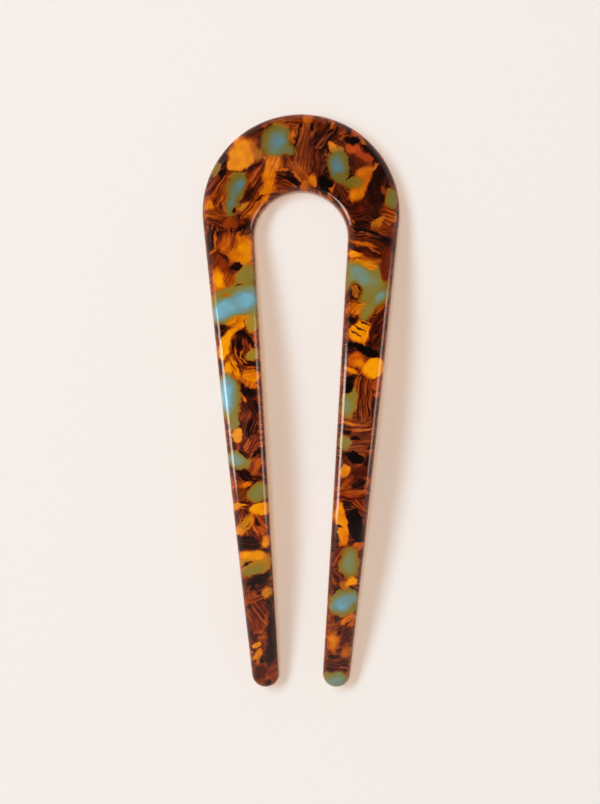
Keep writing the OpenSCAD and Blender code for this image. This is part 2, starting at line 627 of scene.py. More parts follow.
# Chips and clouds of the bow, in the order in which they are laid: a later one covers an earlier one
BOW = (
    Chip(-9.0, 54.2, 4.5, 1.8, 35, 0.16, 0.20, 35),
    Chip(-7.2, 55.3, 0.9, 0.5, 40, 0.45, 0.15, 40),
    Chip(-9.2, 53.2, 1.8, 0.6, 20, 0.30, 0.20, 30),
    Chip(-15.6, 48.6, 5.5, 1.5, 60, 0.10, 0.10, 60),
    Chip(-1.2, 56.2, 2.6, 1.2, 0, 0.34, 0.25, 5),
    Chip(0.6, 50.0, 8.0, 2.0, 85, 0.38, 0.30, 83),
    Chip(3.2, 48.0, 5.0, 1.8, 86, 0.24, 0.26, 84),
    Chip(5.0, 53.2, 3.8, 2.6, 40, 0.14, 0.40, 50),
    Chip(2.0, 54.6, 2.6, 1.1, 68, 0.34, 0.36, 68),
    Chip(1.5, 56.4, 1.2, 1.4, 85, 0.58, 0.12, 80),
    Chip(4.0, 56.3, 1.6, 0.5, -8, 0.42, 0.20, 10),
    Chip(6.3, 55.4, 1.2, 0.6, 88, 0.60, 0.12, 85),
    Chip(8.3, 54.0, 1.4, 1.0, -40, 0.34, 0.30, 50),
    Chip(9.6, 54.9, 1.8, 0.9, -38, 0.10, 0.12, -40),
    Chip(11.8, 53.4, 2.4, 0.7, -34, 0.50, 0.16, -35, 0.2, -0.5),
    Chip(13.5, 51.5, 1.6, 0.9, -42, 0.20, 0.20, -40),
    Chip(11.8, 48.3, 3.4, 2.3, -30, 0.27, 0.12, -40),
    Chip(14.9, 49.0, 2.4, 1.1, -60, 0.12, 0.15, -60),
    Chip(13.0, 49.0, 1.9, 0.8, -36, 0.52, 0.12, -36, 0.25, -0.8),
    Chip(-9.6, 51.4, 1.7, 1.4, 80, 0.50, 0.42, 75),
    Chip(-8.1, 51.0, 1.5, 0.3, 88, 0.10, 0.05, 88),
    Chip(-8.8, 49.6, 1.8, 1.6, 70, 0.60, 0.10, 70, 0.4, 0.2),
    Chip(-9.5, 47.0, 3.0, 0.8, 30, 0.22, 0.35, 30),
    Chip(-12.2, 49.7, 3.8, 2.3, 62, 0.91, 0.03, 60, 0.3),
    Chip(-12.4, 47.6, 2.9, 1.5, 18, 0.90, 0.03, 60, 0.12),
    Chip(-12.7, 52.4, 1.2, 0.9, 40, 0.76, 0.05, 60),
    Chip(-10.5, 48.6, 1.8, 1.1, 70, 0.88, 0.04, 60, 0.4),
    Chip(-14.4, 45.9, 1.4, 0.4, 0, 0.28, 0.15, 0),
    Chip(-12.6, 45.2, 2.4, 0.7, 5, 0.72, 0.12, 10, 0.3, 0.3),
    Cloud(-5.0, 52.1, 4.0, 3.2, 84, 0.52, 0.45, 0.46),
    Chip(-1.8, 54.2, 1.7, 0.8, 120, 0.44, 0.25, 110),
    Chip(-1.8, 53.5, 1.0, 0.55, 75, 0.66, 0.10, 70),
    Cloud(-4.5, 51.5, 3.1, 2.2, 84, 1.04, 0.8, 0.42),
    Cloud(-3.0, 50.0, 2.2, 1.5, 0, 0.70, 0.7, 0.42),
    Chip(-1.0, 52.3, 2.8, 0.28, 78, 0.05, 0.05, 78),
    Chip(-0.2, 55.2, 1.6, 0.25, 70, 0.08, 0.05, 78),
    Chip(0.1, 53.6, 3.2, 0.2, 77, 0.55, 0.05, 78),
    Chip(2.3, 55.0, 1.0, 0.4, 80, 0.04, 0.05, 78),
    Chip(3.0, 53.4, 1.2, 0.5, 80, 0.06, 0.20, 78),
    Chip(6.4, 51.1, 1.4, 0.9, -20, 0.80, 0.06, 0, 0.25, 0.12),
    Chip(7.3, 50.4, 1.5, 0.8, -10, 0.78, 0.08, 0, 0.3, 0.2),
    Chip(10.2, 50.6, 1.7, 0.9, -8, 0.62, 0.05, -10, 0.25, -0.9),
    Chip(11.6, 49.7, 1.2, 0.7, -45, 0.54, 0.05, -40, 0.3, -0.9),
    Chip(10.2, 52.2, 1.9, 0.75, -8, 0.01, 0.03, 0),
    Chip(13.5, 50.7, 2.1, 0.8, -25, 0.03, 0.03, -25),
    Chip(12.7, 51.8, 0.9, 0.5, -25, 0.58, 0.10, -30),
    Chip(5.3, 50.4, 0.4, 1.3, 0, 0.14, 0.10, 90),
    Cloud(7.5, 47.5, 3.4, 2.7, 92, 0.52, 0.45, 0.40),
    Cloud(7.3, 47.0, 2.8, 1.7, 92, 1.00, 0.8, 0.38),
    Chip(10.2, 47.6, 1.9, 0.8, 80, 0.14, 0.12, 80),
    Chip(-2.6, 48.0, 1.7, 1.2, -20, 0.24, 0.25, -30),
    Chip(-1.2, 46.8, 3.6, 1.3, -42, 0.42, 0.22, -42),
    Chip(-3.4, 47.4, 1.6, 0.8, 70, 0.20, 0.20, 70),
    Chip(-5.6, 47.5, 2.2, 2.4, 70, 0.70, 0.42, 66),
    Chip(-6.6, 44.6, 3.4, 1.9, 72, 0.76, 0.26, 68),
    Chip(-8.8, 45.6, 3.0, 0.9, 58, 0.40, 0.45, 56),
    Chip(-7.2, 41.6, 3.4, 1.5, 60, 0.80, 0.14, 56),
    Chip(-9.4, 42.4, 3.6, 1.2, 60, 0.30, 0.40, 58),
    Chip(-10.2, 46.2, 1.6, 0.5, 50, 0.14, 0.30, 50),
    Chip(-16.8, 42.4, 4.4, 2.6, 62, 0.34, 0.48, 52),
    Chip(-13.4, 41.6, 4.4, 2.6, 76, 0.50, 0.25, 60, 0.3, 0.1),
    Cloud(-12.9, 42.8, 3.7, 2.0, 72, 0.52, 0.5, 0.44),
    Cloud(-14.0, 39.0, 3.6, 1.3, 80, 0.54, 0.4, 0.44),
    Cloud(-12.6, 43.1, 2.5, 1.2, 62, 1.00, 0.8, 0.42),
    Cloud(-13.7, 40.5, 3.0, 1.0, 76, 0.88, 0.8, 0.42),
    Chip(-11.4, 38.9, 1.6, 1.1, 40, 0.78, 0.10, 35, 0.25, 0.3),
    Chip(-11.2, 40.5, 1.9, 0.5, 14, 0.12, 0.10, 12),
    Chip(-10.4, 41.6, 1.6, 0.5, 50, 0.10, 0.15, 50),
    Chip(-13.2, 38.1, 0.7, 0.3, 70, 0.10, 0.05, 70),
    Chip(-10.4, 38.4, 3.4, 1.1, 52, 0.42, 0.40, 54),
    Chip(-8.3, 39.2, 3.8, 1.0, 54, 0.66, 0.26, 54),
    Chip(-8.3, 40.6, 1.6, 0.4, 30, 0.18, 0.10, 54),
    Chip(-18.6, 39.0, 1.1, 0.9, 85, 0.84, 0.05, 60, 0.4),
    Chip(-17.0, 37.4, 2.6, 1.2, -4, 0.46, 0.30, -4),
    Chip(-17.0, 35.0, 2.6, 1.4, 0, 0.28, 0.42, -3),
    Chip(-14.0, 35.4, 2.0, 1.5, 0, 0.46, 0.10, 20, 0.3, -0.3),
    Chip(-17.4, 34.0, 1.4, 1.4, 0, 0.14, 0.45, 88),
    Chip(-10.8, 35.0, 1.9, 1.7, 20, 0.07, 0.20, 70),
    Chip(-11.9, 35.7, 0.7, 0.5, 60, 0.34, 0.05, 40, 0.4, -0.8),
    Chip(-17.1, 46.3, 1.6, 0.9, 62, 0.52, 0.10, 60, 0.2, 0.35),
    Chip(-15.8, 45.6, 0.9, 0.8, 40, 0.03, 0.05, 40),
    Chip(0.4, 45.6, 3.4, 1.0, -48, 0.54, 0.18, -48),
    Chip(-2.8, 43.2, 2.8, 1.8, -18, 0.34, 0.45, -20),
    Chip(-2.7, 45.0, 2.9, 0.6, -26, 0.02, 0.05, -22),
    Chip(-1.3, 44.0, 1.6, 0.6, -30, 0.03, 0.05, -22),
    Chip(-3.9, 45.5, 1.7, 0.16, -20, 0.34, 0.05, -20),
    Chip(-3.6, 46.2, 1.8, 0.28, -12, 0.66, 0.10, -20),
    Chip(-0.6, 44.9, 1.8, 0.3, -38, 0.68, 0.10, -20),
    Chip(1.0, 43.0, 1.5, 1.0, 80, 0.58, 0.25, 70),
    Chip(2.5, 44.0, 1.7, 1.0, 86, 0.74, 0.14, 86, 0.3, 0.14),
    Chip(8.2, 41.8, 2.8, 1.3, -60, 0.24, 0.22, -64),
    Chip(6.3, 42.6, 1.4, 0.5, 80, 0.60, 0.12, 80),
    Chip(4.9, 43.4, 1.6, 1.3, 8, 0.00, 0.02, 0, 0.15),
    Chip(5.0, 41.8, 1.5, 0.9, -38, 0.02, 0.02, 0, 0.15),
    Chip(5.8, 41.0, 0.5, 0.7, -40, 0.56, 0.05, 0),
    Chip(15.4, 42.6, 7.4, 2.7, 78, 0.09, 0.10, 80),
    Chip(12.2, 38.2, 2.8, 2.4, 20, 0.17, 0.10, 20, 0.3, -0.4),
    Chip(12.0, 38.6, 0.9, 1.1, 20, 0.28, 0.05, 20, 0.8, -0.7),
    Chip(12.1, 44.0, 3.9, 1.9, 66, 0.68, 0.06, 60, 0.2),
    Chip(11.2, 41.8, 2.4, 1.6, 60, 0.76, 0.06, 60, 0.4),
    Chip(14.6, 46.7, 1.4, 0.4, 38, 0.66, 0.10, 38),
    Cloud(10.6, 43.7, 2.5, 1.6, 10, 0.46, 0.9, 0.46),
    Cloud(8.3, 44.6, 1.9, 1.3, 0, 0.52, 0.6, 0.42),
    Chip(9.7, 44.8, 1.0, 0.3, 30, 0.12, 0.05, 30),
    Chip(18.0, 40.6, 2.3, 1.4, 88, 0.50, 0.12, 86, 0.2, 0.3),
    Cloud(18.3, 40.4, 2.2, 1.1, 90, 0.60, 0.6, 0.5),
    Chip(16.7, 42.0, 1.2, 0.5, 80, 0.44, 0.06, 90),
    Chip(17.6, 37.0, 2.0, 2.0, -8, 0.38, 0.62, -6),
    Chip(12.2, 35.2, 2.2, 1.1, 0, 0.02, 0.06, 0),
    Chip(15.3, 35.6, 2.1, 0.9, 46, 0.66, 0.10, 46, 0.2, 0.2),
)

# Chips and clouds of the left leg, from the bow to the tip
LEFT_LEG = (
    Chip(-18.2, 32.0, 2.4, 1.1, 86, 0.10, 0.12, 88),
    Chip(-15.2, 31.2, 3.0, 2.0, 66, 0.64, 0.16, 60, 0.5, -0.3),
    Chip(-11.2, 29.6, 4.4, 2.2, 86, 0.86, 0.04, 80),
    Chip(-13.4, 29.0, 1.9, 1.6, 20, 0.74, 0.06, 60, 0.5),
    Chip(-17.0, 32.0, 2.6, 0.3, 84, 0.64, 0.06, 80),
    Chip(-17.6, 29.8, 1.0, 0.35, 40, 0.64, 0.06, 40),
    Chip(-17.0, 27.8, 2.2, 1.2, 70, 0.40, 0.14, 60, 0.3, -0.3),
    Chip(-12.0, 24.6, 3.3, 2.6, 70, 0.74, 0.10, 40, 0.5, 0.5),
    Chip(-15.4, 27.0, 1.6, 1.0, -70, 0.44, 0.08, 60, 0.4, -0.6),
    Chip(-14.2, 24.4, 2.5, 1.5, 80, 0.52, 0.40, 70, 0.2, -0.1),
    Chip(-14.9, 22.4, 1.6, 1.0, 84, 0.46, 0.25, 80),
    Chip(-16.5, 24.0, 2.7, 1.3, 96, 1.02, 0.03, 90, 0.45),
    Chip(-15.4, 28.6, 1.7, 0.3, -40, 0.16, 0.05, -38),
    Chip(-13.5, 26.4, 1.6, 1.3, 10, 0.26, 0.12, 20, 0.3),
    Chip(-13.0, 26.8, 1.25, 0.85, 8, 0.02, 0.02, 0, 0.15),
    Chip(-12.7, 19.2, 6.4, 4.2, 14, 0.74, 0.05, 20, 0.12, 0.5),
    Cloud(-9.9, 25.2, 2.6, 1.3, 90, 0.56, 0.8),
    Cloud(-11.0, 19.9, 4.9, 2.8, 22, 1.16, 0.8),
    Cloud(-13.8, 18.5, 3.0, 1.7, 24, 1.02, 0.7, 0.76),
    Cloud(-15.6, 17.9, 3.0, 2.1, 60, 1.12, 0.6, 0.76),
    Chip(-14.8, 21.2, 1.2, 0.5, 15, 0.66, 0.20, 15, 0.3, 0.2),
    Chip(-12.6, 22.9, 1.0, 0.25, 15, 0.24, 0.05, 15),
    Chip(-12.4, 16.0, 2.8, 1.1, 14, 0.84, 0.30, 20, 0.25, 0.1),
    Chip(-9.6, 15.3, 2.1, 1.5, 84, 0.98, 0.10, 84, 0.3, 0.40),
    Chip(-12.2, 14.6, 1.7, 0.9, 32, 0.88, 0.12, 30),
    Chip(-13.2, 15.5, 1.4, 0.13, 16, 0.50, 0.05, 20),
    Chip(-12.8, 16.2, 1.2, 0.12, 14, 0.54, 0.05, 20),
    Chip(-11.2, 15.4, 0.9, 0.15, 92, 0.48, 0.05, 90),
    Chip(-9.0, 12.6, 1.4, 0.9, 84, 0.52, 0.24, 84, 0.2, -0.2),
    Chip(-9.9, 4.9, 2.2, 1.6, 0, 0.84, 0.16, 4),
    Chip(-12.0, 10.4, 3.8, 2.2, 98, 0.13, 0.36, 94),
    Chip(-15.2, 10.9, 3.2, 1.1, 84, 1.00, 0.03, 66, 0.15),
    Chip(-14.0, 13.4, 2.2, 0.75, 50, 0.95, 0.06, 50),
    Chip(-15.3, 13.3, 1.9, 0.5, 54, 0.04, 0.20, 54),
    Chip(-14.8, 13.2, 1.0, 0.12, 54, 0.40, 0.05, 54),
    Chip(-14.1, 10.5, 1.5, 0.24, 92, 0.56, 0.05, 90),
    Chip(-13.5, 12.7, 1.4, 0.22, 58, 0.54, 0.05, 58),
    Chip(-11.8, 13.1, 1.4, 0.8, -22, 0.03, 0.08, -30),
    Chip(-10.1, 12.2, 1.5, 0.4, -40, 0.05, 0.08, -40),
    Chip(-9.5, 11.1, 0.7, 0.25, -72, 0.06, 0.05, -72),
    Chip(-11.1, 11.0, 1.5, 0.9, 96, 0.36, 0.20, 80, 0.3, -0.3),
    Chip(-12.5, 10.9, 0.8, 0.5, 80, 0.05, 0.05, 80),
    Chip(-10.2, 11.1, 0.5, 0.2, 70, 0.62, 0.05, 70, 0.3, -0.2),
    Chip(-14.4, 6.2, 2.0, 1.1, 86, 1.00, 0.04, 100),
    Chip(-13.0, 6.6, 3.0, 0.75, 113, 0.88, 0.12, 113),
    Chip(-13.0, 9.3, 1.4, 0.24, 98, 0.62, 0.05, 98),
    Chip(-12.1, 7.8, 1.3, 0.28, 124, 0.66, 0.05, 124),
    Chip(-12.3, 9.1, 1.1, 0.14, 97, 0.14, 0.05, 97),
    Chip(-11.6, 7.8, 1.1, 0.13, 127, 0.16, 0.05, 127),
    Chip(-11.8, 9.2, 1.3, 0.24, 98, 0.66, 0.05, 98, 0.2, 0.14),
    Chip(-11.1, 7.9, 0.9, 0.24, 130, 0.66, 0.05, 130, 0.2, 0.14),
    Chip(-9.4, 9.3, 1.8, 1.3, 24, 0.88, 0.08, 24, 0.25, 0.42),
    Chip(-9.2, 7.3, 1.8, 0.36, 2, 0.03, 0.05, 2),
    Chip(-9.4, 6.6, 1.8, 0.2, -3, 0.56, 0.05, 0, 0.2, -0.3),
    Chip(-9.6, 6.1, 1.6, 0.12, 0, 0.42, 0.05, 0),
    Chip(-9.7, 5.5, 1.5, 0.10, 0, 0.50, 0.05, 0),
    Chip(-12.9, 4.7, 0.5, 0.4, 0, 0.62, 0.05, 0, 0.4, -0.5),
    Chip(-13.4, 6.9, 1.7, 0.13, 118, 0.36, 0.05, 118),
    Chip(-12.3, 6.9, 2.7, 0.15, 112, 0.20, 0.05, 112),
    Chip(-9.8, 3.2, 1.9, 0.8, -22, 0.70, 0.34, 64, 0.2, -0.2),
    Cloud(-14.3, 0.8, 4.9, 2.5, 94, 0.55, 0.3),
    Cloud(-14.8, 1.2, 4.6, 2.1, 94, 1.12, 0.65, 0.78),
    Chip(-10.1, -1.6, 3.2, 2.0, 110, 0.17, 0.42, -62),
    Chip(-10.2, 1.7, 2.3, 0.95, -28, 0.03, 0.05, -28),
    Chip(-11.7, 2.6, 0.6, 1.1, 0, 0.05, 0.05, 90),
    Chip(-11.2, 0.5, 1.3, 0.35, -52, 0.74, 0.10, -52),
    Chip(-11.0, -3.2, 1.5, 0.9, 50, 0.42, 0.25, 60, 0.2, -0.4),
    Cloud(-13.3, -4.0, 1.9, 1.0, 84, 0.54, 0.35),
    Chip(-10.4, -5.6, 2.4, 2.3, 60, 0.12, 0.32, 70),
    Chip(-12.8, -6.9, 1.7, 0.95, 84, 0.92, 0.05, 80, 0.12),
    Chip(-10.0, -8.8, 1.7, 1.4, 10, 0.34, 0.50, 66, 0.2, -0.4),
    Chip(-10.7, -9.0, 1.1, 0.4, 70, 0.58, 0.20, 70, 0.3, -0.8),
    Chip(-12.2, -12.0, 2.9, 1.9, -22, 0.70, 0.06, -20, 0.15, 0.5),
    Cloud(-13.4, -11.8, 2.4, 1.6, -10, 0.90, 0.8, 0.76),
    Chip(-11.2, -10.6, 1.9, 0.6, -42, 0.10, 0.15, -40),
    Chip(-9.0, -12.9, 2.3, 1.1, 66, 0.56, 0.40, 60, 0.2, -0.2),
    Chip(-11.7, -14.9, 2.3, 1.3, -14, 0.18, 0.42, -38, 0.2, -0.2),
    Chip(-9.3, -15.8, 1.4, 0.35, -8, 0.05, 0.05, -8),
    Chip(-12.3, -16.8, 1.9, 0.8, 16, 0.56, 0.45, 24, 0.2, -0.3),
    Chip(-10.9, -16.6, 1.3, 0.5, 35, 0.76, 0.20, 35),
    Chip(-12.4, -18.6, 1.6, 1.4, 0, 0.38, 0.12, 60, 0.2, 0.1),
    Chip(-8.6, -18.2, 2.6, 2.1, 40, 0.70, 0.05, 60, 0.2, 0.5),
    Cloud(-8.4, -18.3, 1.8, 1.5, 60, 0.64, 0.9),
    Chip(-12.4, -21.0, 1.8, 0.8, 5, 0.86, 0.20, 0, 0.2, 0.1),
    Chip(-11.2, -20.4, 1.5, 0.35, -8, 0.14, 0.10, -8),
    Chip(-11.0, -21.2, 1.2, 0.2, 10, 0.22, 0.05, 0),
    Chip(-8.0, -21.6, 2.2, 1.3, 8, 0.96, 0.05, 0, 0.15),
    Chip(-12.4, -23.0, 1.5, 1.2, 30, 0.22, 0.35, 60),
    Chip(-11.2, -24.7, 2.5, 1.3, 58, 0.80, 0.26, 60, 0.2, 0.24),
    Chip(-11.8, -24.0, 1.5, 0.14, 58, 0.34, 0.05, 58),
    Chip(-10.7, -24.8, 1.9, 0.12, 60, 0.34, 0.05, 60),
    Chip(-12.3, -26.1, 1.2, 0.8, 10, 0.84, 0.12, 50, 0.2, 0.1),
    Chip(-8.2, -24.8, 2.4, 1.6, -60, 0.52, 0.48, -52, 0.2, -0.3),
    Chip(-8.6, -24.0, 1.0, 0.5, -60, 0.12, 0.05, 0),
    Chip(-9.8, -23.6, 1.5, 0.35, 75, 0.80, 0.05, 75),
    Chip(-10.4, -28.5, 2.6, 1.6, -4, 0.06, 0.08, 0, 0.15),
    Chip(-7.0, -28.0, 1.5, 1.2, 74, 0.90, 0.12, 60),
    Chip(-8.2, -27.4, 1.5, 0.5, 76, 0.34, 0.30, 76),
    Chip(-7.4, -30.0, 1.3, 0.5, 10, 0.08, 0.10, 10),
    Chip(-9.2, -32.3, 3.6, 2.5, 4, 0.76, 0.05, 0, 0.12, 0.26),
    Chip(-9.8, -30.9, 2.8, 0.9, -4, 0.96, 0.04, 0, 0.35),
    Cloud(-9.6, -33.9, 2.8, 1.3, 20, 0.50, 0.8),
    Chip(-10.8, -32.6, 1.5, 0.3, 34, 0.10, 0.05, 30),
    Chip(-10.7, -36.9, 1.6, 1.9, 0, 0.10, 0.30, 84),
    Chip(-8.2, -35.3, 3.2, 1.0, 22, 0.05, 0.10, 22),
    Chip(-7.6, -37.0, 2.8, 0.8, 25, 0.25, 0.26, 25),
    Chip(-6.7, -38.2, 1.6, 1.3, 24, 0.76, 0.20, 34, 0.3, 0.2),
    Chip(-9.4, -39.6, 2.3, 0.8, 20, 0.48, 0.38, 20, 0.2, -0.3),
    Chip(-9.8, -41.2, 1.2, 0.7, 0, 0.08, 0.10, 0),
    Chip(-8.2, -42.4, 3.0, 2.0, 90, 0.32, 0.34, -56, 0.2, -0.3),
    Chip(-9.0, -45.0, 1.7, 1.5, 90, 0.38, 0.14, 90, 0.3, -0.4),
    Chip(-5.9, -47.6, 6.6, 1.5, 88, 0.08, 0.06, 90),
    Chip(-7.2, -44.8, 3.2, 0.4, 74, 0.42, 0.12, 76, 0.2, -0.3),
    Chip(-9.2, -47.2, 1.4, 0.6, 0, 0.18, 0.15, 0),
    Chip(-7.2, -47.4, 1.0, 0.4, -50, 0.42, 0.12, -50),
    Chip(-8.9, -48.8, 1.0, 0.75, 6, 0.88, 0.05, 0, 0.15),
    Chip(-7.3, -48.8, 0.6, 1.0, 0, 0.36, 0.12, 90, 0.2, -0.3),
    Chip(-8.6, -51.0, 1.6, 0.85, 66, 0.78, 0.16, 66, 0.25, 0.12),
    Chip(-8.6, -52.6, 0.9, 0.45, 88, 0.66, 0.10, 90),
    Chip(-8.2, -54.6, 1.5, 1.2, 60, 0.22, 0.10, 60, 0.3, -0.4),
    Chip(-8.0, -56.4, 1.2, 0.9, 0, 0.38, 0.10, 60),
    Chip(-5.6, -55.2, 1.3, 1.1, 20, 0.44, 0.24, 30, 0.25, -0.6),
    Chip(-6.6, -56.8, 0.9, 0.7, 90, 0.08, 0.05, 0),
    Chip(-7.4, -44.6, 1.9, 0.17, 72, 0.60, 0.05, 72, 0.4),
    Chip(-7.8, -46.5, 0.6, 0.16, 96, 0.57, 0.05, 90, 0.4),
    Chip(-7.4, -47.5, 0.7, 0.16, -40, 0.54, 0.05, -40, 0.4),
    Chip(-9.3, -46.2, 0.5, 0.4, 0, 0.46, 0.05, 0, 0.6, -0.3),
)

